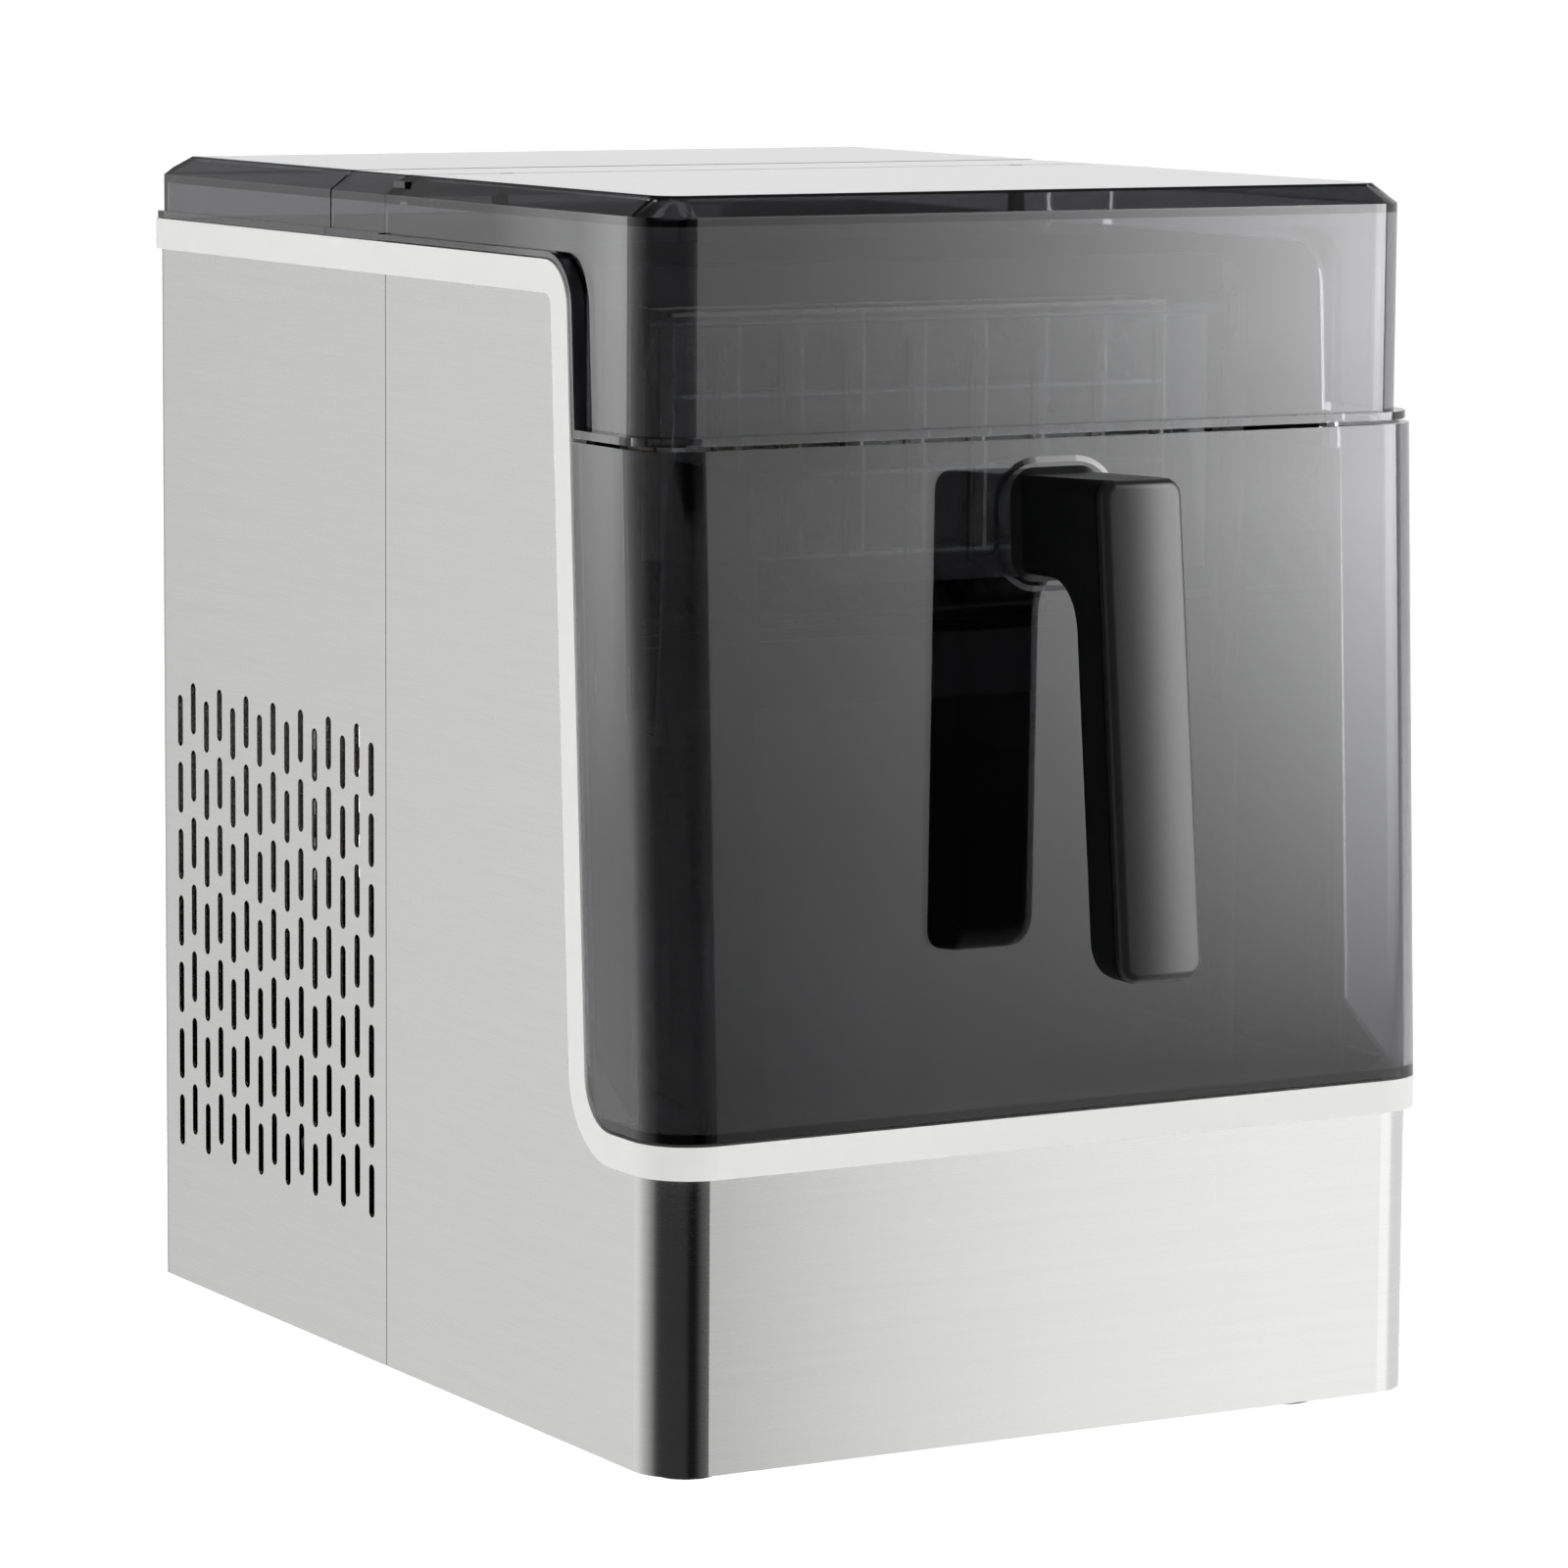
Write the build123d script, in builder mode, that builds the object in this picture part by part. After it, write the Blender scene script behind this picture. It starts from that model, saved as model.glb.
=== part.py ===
from build123d import *
from math import atan, degrees, hypot
import os

# Countertop clear-cube ice maker: a steel cabinet, a smoked hinged lid and a smoked pull-out ice bin.
# +X is the machine's left-to-right width seen from the front, the front faces -Y, and +Z is up.
# The origin is on the surface it stands on, at the centre of the whole machine's footprint.
os.makedirs("parts", exist_ok=True)

# ---------------------------------------------------------------- driving dimensions (mm)
body_width = 290.0          # stainless cabinet, side to side
body_depth = 375.0          # stainless cabinet, front plane to back plane
foot_height = 8.0           # rubber feet below the steel's lower edge
top_z = 409.6               # top of the lid
handle_reach = 63.5         # the handle's furthest point in front of the steel
rear_reach = 12.0           # the drain cap's end behind the steel
sheet = 1.0                 # stainless sheet
corner_front = 17.4         # upright corner radii of the steel
corner_back = 7.0
panel_half = body_width / 2

front_y = handle_reach - (body_depth + handle_reach + rear_reach) / 2
back_y = front_y + body_depth


def behind_front(distance):
    """The y of a place that lies this far behind the steel's front plane."""
    return front_y + distance


panel_seam = behind_front(192.0)      # front and rear steel panels meet here
lid_seam = behind_front(196.0)        # the lid's rear edge meets the hinge cover here
hinge_cover_end = behind_front(237.0)

# The white trim runs along the top of each side, down the leaning front edge and across the front.
trim_width = 10.7
trim_top = 387.8
trim_front_top = 114.3
trim_half = 147.0
trim_top_corner = 15.0
trim_low_corner = 17.0
edge_low = behind_front(46.4)         # the leaning edge at trim_front_top
edge_high = behind_front(61.4)        # the leaning edge at trim_top
edge_slope = (edge_high - edge_low) / (trim_top - trim_front_top)

# Smoked lid and covers.
hood_half = 143.3
hood_front = behind_front(11.6)
hood_back = behind_front(373.5)
hood_corner = 16.0
hood_wall = 3.0
chamfer_height = 6.4
chamfer_angle = degrees(atan(8.4 / 6.4))
chamfer_z = top_z - chamfer_height
bead_height = 2.4
flange_half = 146.5
flange_front = behind_front(7.5)
lid_low = 335.0
inlay_half = 133.6
inlay_depth = 0.9
hinge_y = lid_seam - 2.8
hinge_z = top_z - 2.6
hinge_radius = 2.4

# Ice bin.
bin_half = 146.5
bin_low = 114.9
bin_high = 331.2
bin_wall = 3.0
bin_corner = 19.0
bin_lean = 0.0438                     # the front comes forward this much per mm of drop
box_half = 111.0
box_wall = 2.5
box_rear = behind_front(142.5)
box_rear_top = 234.0

# Cavity and machine room.
liner_half = 140.9
liner_back = behind_front(165.0)
cavity_floor = 113.5
pan_top = 11.0
pan_half = 143.5


def trim_area(offset):
    """Side view of everything behind and below the trim's front edge moved back by offset."""
    shift = offset * hypot(1, edge_slope)
    top = trim_top - offset
    low = trim_front_top - offset
    high_y = edge_low + (top - trim_front_top) * edge_slope + shift
    low_y = edge_low + (low - trim_front_top) * edge_slope + shift
    with BuildSketch(Plane.YZ) as area:
        with BuildLine():
            edge = FilletPolyline(
                (back_y + 60, top), (high_y, top), (low_y, low), (front_y - 60, low),
                radius=[trim_top_corner - offset, trim_low_corner + offset],
            )
            Polyline(edge @ 0, (back_y + 60, -50), (front_y - 60, -50), edge @ 1)
        make_face()
    return area.sketch


def skirt_area(advance):
    """Side view of everything behind and below the lid skirt's free edge moved forward by advance."""
    low_y = behind_front(54.0) - advance
    top = trim_top + bead_height + advance
    with BuildSketch(Plane.YZ) as area:
        with BuildLine():
            edge = FilletPolyline((back_y + 60, top), (low_y, top), (low_y, 0), radius=12 + advance)
            Polyline(edge @ 0, (back_y + 60, 0), edge @ 1)
        make_face()
    return area.sketch


def plan(half, y_front, y_back, r_front, r_back, level):
    """A rectangle seen from above, with corner radii in front and behind, where 0 is square."""
    with BuildSketch(Plane.XY.offset(level)) as outline:
        with Locations((0, (y_front + y_back) / 2)):
            Rectangle(2 * half, y_back - y_front)
        if r_front > 0:
            fillet(outline.vertices().group_by(Axis.Y)[0], r_front)
        if r_back > 0:
            fillet(outline.vertices().group_by(Axis.Y)[-1], r_back)
    return outline.sketch


def side_polygon(points, x=0):
    """A closed outline in side view at one x, from (y, z) points."""
    with BuildSketch(Plane.YZ.offset(x)) as outline:
        with BuildLine():
            Polyline(*points, close=True)
        make_face()
    return outline.sketch


def block(low, high):
    """A rectangular block between two corners, kept apart until it is added."""
    size = [b - a for a, b in zip(low, high)]
    centre = [(a + b) / 2 for a, b in zip(low, high)]
    return Pos(*centre) * Box(*size, mode=Mode.PRIVATE)


def tube(points, radius, bends):
    """A round tube through points, with the same bend radius at every corner."""
    with BuildPart() as pipe:
        with BuildLine():
            path = FilletPolyline(*points, radius=bends)
        with BuildSketch(Plane(origin=path @ 0, z_dir=path % 0)):
            Circle(radius)
        sweep()
    return pipe.part


def save(piece, label):
    """Names a finished piece and writes its STEP file."""
    piece.part.label = label
    export_step(piece.part, f"parts/{label}.step")


# ---------------------------------------------------------------- cabinet
with BuildPart() as base_pan:
    extrude(plan(pan_half, behind_front(1.5), back_y - 1.5, 15.5, 5.5, pan_top - 2), amount=12)
    extrude(
        plan(pan_half - 2, behind_front(3.5), back_y - 3.5, 13.5, 3.5, pan_top),
        amount=12, mode=Mode.SUBTRACT,
    )
save(base_pan, "base_pan")

foot_x = 115.0
foot_ys = (behind_front(38), behind_front(338))
foot_centres = [(x, y) for x in (-foot_x, foot_x) for y in foot_ys]
with BuildPart() as feet:
    with BuildSketch():
        with Locations(*foot_centres):
            Circle(11)
    extrude(amount=foot_height + 1, taper=-8)
    fillet(feet.edges().group_by(Axis.Z)[0], 1.2)
save(feet, "rubber_feet")

with BuildPart() as front_panel:
    extrude(plan(panel_half, front_y, panel_seam, corner_front, 0, foot_height), amount=trim_top)
    extrude(
        plan(panel_half - sheet, front_y + sheet, panel_seam + 40, corner_front - sheet, 0, foot_height),
        amount=trim_top, mode=Mode.SUBTRACT,
    )
    extrude(trim_area(trim_width), amount=200, both=True, mode=Mode.INTERSECT)
save(front_panel, "front_wrap_panel")

# Vents: columns of upright slots, every second column a little higher.
slot_length = 18.3
slot_width = 4.1
slot_pitch_y = 10.9
slot_pitch_z = 24.0
slot_rows = 7
slot_columns = 15
slot_first = (behind_front(356.0), 210.2)
slot_stagger = 5.3
side_slots = [
    (slot_first[0] - column * slot_pitch_y, slot_first[1] + (column % 2) * slot_stagger - row * slot_pitch_z)
    for column in range(slot_columns)
    for row in range(slot_rows)
]
back_slots = [
    ((column - 6) * slot_pitch_y - 20, 250 + (column % 2) * slot_stagger - row * slot_pitch_z)
    for column in range(13)
    for row in range(5)
]
gland_at = (-92.0, 52.0)
drain_at = (60.0, 28.0)
panel_gap = 0.4
panel_high = trim_top - trim_width - foot_height
lip_reach = 132.0                     # the side panels turn the rear corners and end here


def rear_sheets(slots_plane, slots, cut_depth, low, high):
    """The part between two corners of the rear half's sheet metal, with its vent slots punched out."""
    with BuildPart() as shell:
        seam = panel_seam + panel_gap
        extrude(plan(panel_half, seam, back_y, 0, corner_back, foot_height), amount=panel_high)
        extrude(
            plan(panel_half - sheet, panel_seam - 40, back_y - sheet, 0, corner_back - sheet, foot_height),
            amount=panel_high, mode=Mode.SUBTRACT,
        )
        add(block(low, high), mode=Mode.INTERSECT)
        with BuildSketch(slots_plane):
            with Locations(*slots):
                SlotOverall(slot_length, slot_width, rotation=90)
        extrude(amount=cut_depth, both=True, mode=Mode.SUBTRACT)
    return shell.part


for side, label in ((-1, "left_side_panel"), (1, "right_side_panel")):
    edges_x = sorted((side * (lip_reach + panel_gap), side * 200))
    with BuildPart() as side_panel:
        add(rear_sheets(Plane.YZ, side_slots, 200, (edges_x[0], -300, 0), (edges_x[1], 300, 400)))
    save(side_panel, label)

with BuildPart() as back_panel:
    add(rear_sheets(Plane.XZ.offset(-back_y), back_slots, 3, (-lip_reach, 100, 0), (lip_reach, 300, 400)))
    with BuildSketch(Plane.XZ.offset(-back_y)):
        with Locations(gland_at):
            Circle(8.5)
        with Locations(drain_at):
            Circle(6.2)
    extrude(amount=3, both=True, mode=Mode.SUBTRACT)
save(back_panel, "back_panel")

gusset_low = 118.6                    # straight-cut corner webs behind the bin's lower rear corners
gusset = [
    (behind_front(47.2), 135.0), (behind_front(21.0), gusset_low),
    (behind_front(52.0), gusset_low), (behind_front(52.0), 135.0),
]
with BuildPart() as trim:
    extrude(plan(trim_half, front_y - 4.35, back_y + 2, 20, 9, 90), amount=trim_top)
    extrude(plan(141, front_y + 3, back_y - 4, 14, 3, 80), amount=trim_top, mode=Mode.SUBTRACT)
    extrude(trim_area(0), amount=200, both=True, mode=Mode.INTERSECT)
    extrude(trim_area(trim_width), amount=200, both=True, mode=Mode.SUBTRACT)
    for x in (-143, 141):
        extrude(side_polygon(gusset, x), amount=2)
save(trim, "trim_band")

# ---------------------------------------------------------------- cold compartment
hose_at = (128.0, behind_front(97))
return_at = (-128.0, behind_front(101))
tube_x = 100.0
tube_levels = (298.0, 358.0)
with BuildPart() as liner:
    extrude(plan(liner_half, front_y + 3.1, liner_back, 13.9, 1, 110.3), amount=277.2)
    add(block((-138, front_y - 50, cavity_floor), (138, liner_back - 2, 420)), mode=Mode.SUBTRACT)
    extrude(trim_area(0.2), amount=200, both=True, mode=Mode.INTERSECT)
    with BuildSketch(Plane.XY.offset(100)):
        with Locations(hose_at, return_at):
            Circle(6)
    extrude(amount=20, mode=Mode.SUBTRACT)
    with BuildSketch(Plane.XZ.offset(-liner_back)):
        with Locations(*[(tube_x, z) for z in tube_levels]):
            Circle(5)
    extrude(amount=4, both=True, mode=Mode.SUBTRACT)
save(liner, "cavity_liner")

with BuildPart() as partition:
    add(block((-140.5, liner_back + 0.2, cavity_floor), (140.5, behind_front(177), 383.6)))
    with BuildSketch(Plane.XZ.offset(-liner_back)):
        with Locations(*[(tube_x, z) for z in tube_levels]):
            Circle(5)
    extrude(amount=30, both=True, mode=Mode.SUBTRACT)
save(partition, "insulated_partition")

with BuildPart() as deck:
    extrude(plan(140.5, liner_back + 0.2, behind_front(370), 1, 3, 384), amount=3.4)
save(deck, "upper_deck")

# ---------------------------------------------------------------- top covers
def hood(inset, y_front, y_back, r_front, r_back, low, top):
    """A shallow cap: upright sides, then the sloping chamfer up to a flat top."""
    knee = top - chamfer_height
    with BuildPart() as cap:
        extrude(plan(hood_half - inset, y_front, y_back, r_front, r_back, low), amount=knee - low)
        extrude(
            plan(hood_half - inset, y_front, y_back, r_front, r_back, knee),
            amount=chamfer_height, taper=chamfer_angle,
        )
    return cap.part


cover_low = trim_top + 0.2
with BuildPart() as rear_cover:
    add(hood(0, lid_seam - 40, hood_back, 2, 3, cover_low, top_z))
    extrude(plan(flange_half - 1, lid_seam - 40, hood_back + 2.2, 2, 5, cover_low), amount=bead_height)
    add(
        hood(hood_wall, lid_seam - 44, hood_back - hood_wall, 2, 1, cover_low - 1, top_z - hood_wall),
        mode=Mode.SUBTRACT,
    )
    extrude(
        plan(inlay_half + 0.2, hinge_cover_end, hood_back - 9.4, 0.5, 2, top_z - inlay_depth),
        amount=2, mode=Mode.SUBTRACT,
    )
    add(block((-200, lid_seam - 90, 300), (200, hinge_cover_end + 0.15, 500)), mode=Mode.SUBTRACT)
save(rear_cover, "rear_top_cover")

with BuildPart() as hinge_cover:
    add(hood(0.25, lid_seam - 40, hood_back, 2, 10, cover_low, top_z - 0.1))
    extrude(plan(flange_half - 1, lid_seam - 40, hood_back, 2, 12, cover_low), amount=bead_height)
    add(
        hood(hood_wall, lid_seam - 44, hood_back + 20, 2, 8.5, cover_low - 1, top_z - hood_wall),
        mode=Mode.SUBTRACT,
    )
    extrude(
        plan(inlay_half + 0.2, lid_seam + 1.4, hood_back, 0.5, 2, top_z - inlay_depth - 0.1),
        amount=2, mode=Mode.SUBTRACT,
    )
    add(block((-200, lid_seam - 90, 300), (200, lid_seam + 0.4, 500)), mode=Mode.SUBTRACT)
    add(block((-200, hinge_cover_end - 0.15, 300), (200, back_y + 60, 500)), mode=Mode.SUBTRACT)
save(hinge_cover, "hinge_cover")

with BuildPart() as hinge_inlay:
    extrude(
        plan(inlay_half, lid_seam + 1.6, hinge_cover_end - 0.3, 0.5, 0.5, top_z - inlay_depth - 0.1),
        amount=inlay_depth,
    )
save(hinge_inlay, "hinge_cover_inlay")

with BuildPart() as touch_panel:
    extrude(
        plan(inlay_half, hinge_cover_end + 0.3, hood_back - 9.6, 0.5, 1.8, top_z - inlay_depth),
        amount=inlay_depth,
    )
save(touch_panel, "touch_panel")

# ---------------------------------------------------------------- lid
ear_x = 100.0
with BuildPart() as lid:
    add(hood(0, hood_front, lid_seam + 40, hood_corner, 2, lid_low, top_z))
    inner_front = hood_front + hood_wall
    inner_corner = hood_corner - hood_wall
    add(
        hood(hood_wall, inner_front, lid_seam + 60, inner_corner, 2, lid_low - 1, top_z - hood_wall),
        mode=Mode.SUBTRACT,
    )
    extrude(skirt_area(0), amount=200, both=True, mode=Mode.SUBTRACT)
    add(block((-hood_half + 3, hinge_y - 6, hinge_z - 7), (hood_half - 3, lid_seam, top_z - 2)))
    extrude(
        plan(inlay_half + 0.2, hood_front + 9.4, hinge_y - hinge_radius, 7, 0.5, top_z - inlay_depth),
        amount=2, mode=Mode.SUBTRACT,
    )
    add(block((-200, hinge_y + hinge_radius, 300), (200, lid_seam + 80, 500)), mode=Mode.SUBTRACT)
    with BuildSketch(Plane.YZ):
        with Locations((hinge_y + 5, hinge_z + 5)):
            Rectangle(10, 10)
        with Locations((hinge_y, hinge_z)):
            Circle(hinge_radius, mode=Mode.SUBTRACT)
    extrude(amount=200, both=True, mode=Mode.SUBTRACT)
    for side in (-1, 1):
        low_x = side * ear_x - 2.5
        add(block((low_x, hinge_y - hinge_radius, 390), (low_x + 5, lid_seam + 1, 420)), mode=Mode.SUBTRACT)
    with BuildSketch(Plane.YZ.offset(-ear_x - 10)):
        with Locations((hinge_y, hinge_z)):
            Circle(1.06)
    extrude(amount=20, mode=Mode.SUBTRACT)
    with BuildSketch(Plane.YZ.offset(ear_x - 10)):
        with Locations((hinge_y, hinge_z)):
            Circle(1.06)
    extrude(amount=20, mode=Mode.SUBTRACT)
save(lid, "lid_shell")

with BuildPart() as lid_inlay:
    extrude(
        plan(inlay_half, hood_front + 9.6, hinge_y - hinge_radius - 0.2, 6.8, 0.4, top_z - inlay_depth),
        amount=inlay_depth,
    )
save(lid_inlay, "lid_inlay")

# The rim frame closes the lid's edge: a flange round the trim's front edge, and an inner web.
flange_low = lid_low - 2.6


def rim_flange():
    """Side-view band that follows the trim's front edge, then runs along the lid's lower edge."""
    with BuildPart() as band:
        extrude(trim_area(-2.3), amount=200, both=True)
        add(block((-200, front_y - 50, flange_low), (200, back_y, lid_low)))
        extrude(trim_area(-0.5), amount=200, both=True, mode=Mode.SUBTRACT)
        add(block((-300, front_y - 99, -99), (300, back_y + 99, flange_low)), mode=Mode.SUBTRACT)
    return band.part


def rim_web():
    """Upright strip inside the lid's side walls that closes the recess beside the trim."""
    with BuildPart() as web:
        web_height = trim_top + 6 - flange_low
        extrude(plan(140.2, hood_front + 6, behind_front(78), 12, 1, flange_low), amount=web_height)
        extrude(plan(137.8, hood_front + 5, behind_front(99), 12, 1, 300), amount=130, mode=Mode.SUBTRACT)
        extrude(skirt_area(3), amount=200, both=True, mode=Mode.INTERSECT)
        extrude(trim_area(-0.5), amount=200, both=True, mode=Mode.SUBTRACT)
    return web.part


with BuildPart() as rim:
    extrude(plan(flange_half, flange_front, hinge_y + hinge_radius, 19, 0, 300), amount=110)
    extrude(plan(137.8, hood_front + 5.5, lid_seam + 60, 11, 1, 290), amount=130, mode=Mode.SUBTRACT)
    add(rim_flange(), mode=Mode.INTERSECT)
    add(rim_web())
save(rim, "lid_rim_frame")

with BuildPart() as ears:
    for side in (-1, 1):
        with BuildSketch(Plane.YZ.offset(side * ear_x)):
            with Locations((hinge_y, hinge_z)):
                Circle(hinge_radius - 0.1)
            with Locations((hinge_y, (hinge_z + 387.4) / 2)):
                Rectangle(2 * hinge_radius - 0.4, hinge_z - 387.4)
            with Locations((hinge_y, hinge_z)):
                Circle(1.0, mode=Mode.SUBTRACT)
        extrude(amount=2, both=True)
save(ears, "hinge_ears")

with BuildPart() as hinge_pins:
    for side in (-1, 1):
        with BuildSketch(Plane.YZ.offset(side * ear_x)):
            with Locations((hinge_y, hinge_z)):
                Circle(1.0)
        extrude(amount=9, both=True)
save(hinge_pins, "hinge_pins")

# ---------------------------------------------------------------- ice bin
def bin_front(z, inset=0.0):
    """The y of the bin's front face at height z, or of a face this far behind it."""
    return behind_front(5.1) - (330 - z) * bin_lean + inset


def bin_form(half, inset, low, high, corner):
    """The bin's outer form, or its hollow: leaning front and rounded upright corners."""
    with BuildPart() as form:
        extrude(
            side_polygon([
                (bin_front(low, inset), low), (bin_front(high, inset), high),
                (behind_front(90), high), (behind_front(90), low),
            ]),
            amount=half, both=True,
        )
        front_edges = form.faces().sort_by(Axis.Y)[0].edges()
        fillet(front_edges.filter_by(lambda e: abs(e.tangent_at(0).Z) > 0.9), corner)
    return form.part


screw_z = 304.0
screw_xs = (-9.0, 9.0)
pad_height = 0.6                      # raised pad that the handle's root stands on
outward = (0, -1, bin_lean)            # the way the bin's front faces
pad_plane = Plane(origin=(0, bin_front(screw_z), screw_z), x_dir=(1, 0, 0), z_dir=outward)
with BuildPart() as fascia:
    add(bin_form(bin_half, 0, bin_low, bin_high, bin_corner))
    extrude(trim_area(-1.0), amount=200, both=True, mode=Mode.SUBTRACT)
    add(
        bin_form(bin_half - bin_wall, bin_wall, bin_low + bin_wall, bin_high + 20, bin_corner - bin_wall),
        mode=Mode.SUBTRACT,
    )
    with BuildSketch(pad_plane):
        RectangleRounded(47, 43, 16)
    extrude(amount=pad_height, taper=72)
    with BuildSketch(Plane.XZ.offset(-behind_front(40))):
        with Locations(*[(x, screw_z) for x in screw_xs]):
            Circle(2.1)
    extrude(amount=90, mode=Mode.SUBTRACT)
save(fascia, "bin_fascia")

box_low = bin_low + bin_wall + 0.1
box_side = [
    (bin_front(box_low, bin_wall + 0.05), box_low), (bin_front(324, bin_wall + 0.05), 324),
    (behind_front(60), 324), (behind_front(72), box_rear_top), (box_rear, box_rear_top), (box_rear, box_low),
]
with BuildPart() as ice_box:
    extrude(side_polygon(box_side), amount=box_half, both=True)
    room = box_half - box_wall
    add(
        block((-room, front_y - 80, box_low + box_wall), (room, box_rear - box_wall, 400)),
        mode=Mode.SUBTRACT,
    )
    for x in (-90, 90):
        add(block((x - 3, behind_front(52), cavity_floor + 1.2), (x + 3, box_rear - 1, box_low)))
save(ice_box, "bin_ice_box")

# ---------------------------------------------------------------- handle
grip_lean = 0.1033                    # the grip comes forward this much per mm of drop
grip_half = 15.0
arm_high = 320.0
grip_high = 322.0
arm_low = 288.5
grip_low = 165.0
grip_depth = 23.0
cap_depth = 6.5
grip_crown = 1.8                      # how far the cap bulges across its width
grip_rounding = 6.0                   # the grip's corners seen from the front
root_front = -pad_height - 0.05       # the arm starts this far in front of the bin


def grip_front(z, inset=0.0):
    """The y of the grip's front face at height z, or of a face this far behind it."""
    return behind_front(-51.7) - (arm_low - z) * grip_lean + inset


def nearest(edges, y, z):
    """The edge whose middle is nearest to a place in side view."""
    return edges.sort_by(lambda e: hypot(e.center().Y - y, e.center().Z - z))[0]


def beside_grip(edge):
    """True for the straight and bent edges behind the cap, along the sides of grip and arm."""
    middle = edge.center()
    flush = abs(abs(middle.X) - grip_half) < 0.4
    behind_cap = grip_front(middle.Z, cap_depth) < middle.Y < bin_front(arm_low, -4)
    seam = min(abs(middle.Z - grip_low - grip_rounding), abs(middle.Z - grip_high + grip_rounding)) < 0.1
    return flush and behind_cap and not seam


grip_plane = Plane(origin=(0, grip_front(arm_low), arm_low), x_dir=(1, 0, 0), z_dir=(0, grip_lean, 1))


def handle_form():
    """Hook-shaped handle: an arm out of the bin's front and a crowned grip that hangs from it."""
    with BuildPart() as hook:
        outline = [
            (bin_front(arm_high, root_front), arm_high), (grip_front(grip_high), grip_high),
            (grip_front(grip_low), grip_low), (grip_front(grip_low, grip_depth), grip_low),
            (grip_front(arm_low, grip_depth), arm_low), (bin_front(arm_low, root_front), arm_low),
        ]
        extrude(side_polygon(outline), amount=grip_half, both=True)
        fillet(nearest(hook.edges().filter_by(Axis.X), grip_front(arm_low, grip_depth), arm_low), 17)
        fillet(nearest(hook.edges().filter_by(Axis.X), grip_front(grip_low, grip_depth), grip_low), 12.5)
        with BuildSketch(Plane.XZ):
            with Locations((0, (grip_high + grip_low) / 2)):
                RectangleRounded(2 * grip_half, grip_high - grip_low, grip_rounding)
        extrude(amount=400, both=True, mode=Mode.INTERSECT)
        with BuildSketch(grip_plane):
            with BuildLine():
                crown = ThreePointArc((-grip_half, grip_crown), (0, 0), (grip_half, grip_crown))
                Polyline(crown @ 1, (grip_half, 120), (-grip_half, 120), crown @ 0)
            make_face()
        extrude(amount=250, both=True, mode=Mode.INTERSECT)
        front_face = hook.faces().filter_by(GeomType.CYLINDER).sort_by(SortBy.AREA)[-1]
        fillet(front_face.edges(), 3)
        fillet(hook.edges().filter_by(beside_grip), 4)
    return hook.part


def cap_slab(near, far, low, high):
    """The slice of space between two depths behind the grip's front face."""
    with BuildPart() as slab:
        extrude(
            side_polygon([
                (grip_front(low, near), low), (grip_front(high, near), high),
                (grip_front(high, far), high), (grip_front(low, far), low),
            ]),
            amount=40, both=True,
        )
    return slab.part


root_plane = Plane(origin=(0, bin_front(screw_z, root_front), screw_z), x_dir=(1, 0, 0), z_dir=outward)
groove = 0.7
with BuildPart() as handle:
    add(handle_form())
    add(cap_slab(-30, cap_depth, 100, 400), mode=Mode.SUBTRACT)
    with BuildSketch(root_plane):
        RectangleRounded(2 * grip_half + 5, arm_high - arm_low + 5, 9)
    extrude(amount=3, taper=40)
    with BuildSketch(Plane.XZ.offset(-behind_front(40))):
        with Locations(*[(x, screw_z) for x in screw_xs]):
            Circle(1.6)
    extrude(amount=60, mode=Mode.SUBTRACT)
save(handle, "handle_body")

with BuildPart() as grip_cap:
    add(handle_form())
    add(cap_slab(cap_depth - groove, 60, 100, 400), mode=Mode.SUBTRACT)
    add(cap_slab(cap_depth - groove - 0.1, cap_depth, 185, 300) & block((-9, -400, 100), (9, 100, 400)))
save(grip_cap, "handle_grip_cap")

with BuildPart() as handle_screws:
    with BuildSketch(Plane.XZ.offset(-bin_front(screw_z, bin_wall + 0.4))):
        with Locations(*[(x, screw_z) for x in screw_xs]):
            Circle(1.6)
    extrude(amount=19)
    with BuildSketch(Plane.XZ.offset(-bin_front(screw_z, bin_wall + 0.4))):
        with Locations(*[(x, screw_z) for x in screw_xs]):
            Circle(3.6)
    extrude(amount=-2.2)
save(handle_screws, "handle_screws")

# ---------------------------------------------------------------- ice making
cell_x = 23.4
cell_z = 26.7
cell_columns = 8
cell_rows = 3
grid_half = cell_columns * cell_x / 2
grid_low = 288.0
grid_high = grid_low + cell_rows * cell_z
grid_front = behind_front(87.5)
grid_back = behind_front(109.5)
plate = 1.2
strip_gap = 0.05
with BuildPart() as evaporator_plate:
    add(block((-111.5, grid_back - plate, grid_low - 1), (111.5, grid_back, grid_high + 1)))
save(evaporator_plate, "evaporator_plate")

with BuildPart() as evaporator:
    for column in range(cell_columns + 1):
        x = -grid_half + column * cell_x
        low_corner = (x - plate / 2, grid_front, grid_low - plate / 2)
        add(block(low_corner, (x + plate / 2, grid_back - plate, grid_high + plate / 2)))
    for row in range(cell_rows + 1):
        z = grid_low + row * cell_z
        for column in range(cell_columns):
            x = -grid_half + column * cell_x + plate / 2 + strip_gap
            low_corner = (x, grid_front, z - plate / 2)
            add(block(low_corner, (x + cell_x - plate - 2 * strip_gap, grid_back - plate, z + plate / 2)))
save(evaporator, "evaporator_grid")

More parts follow.
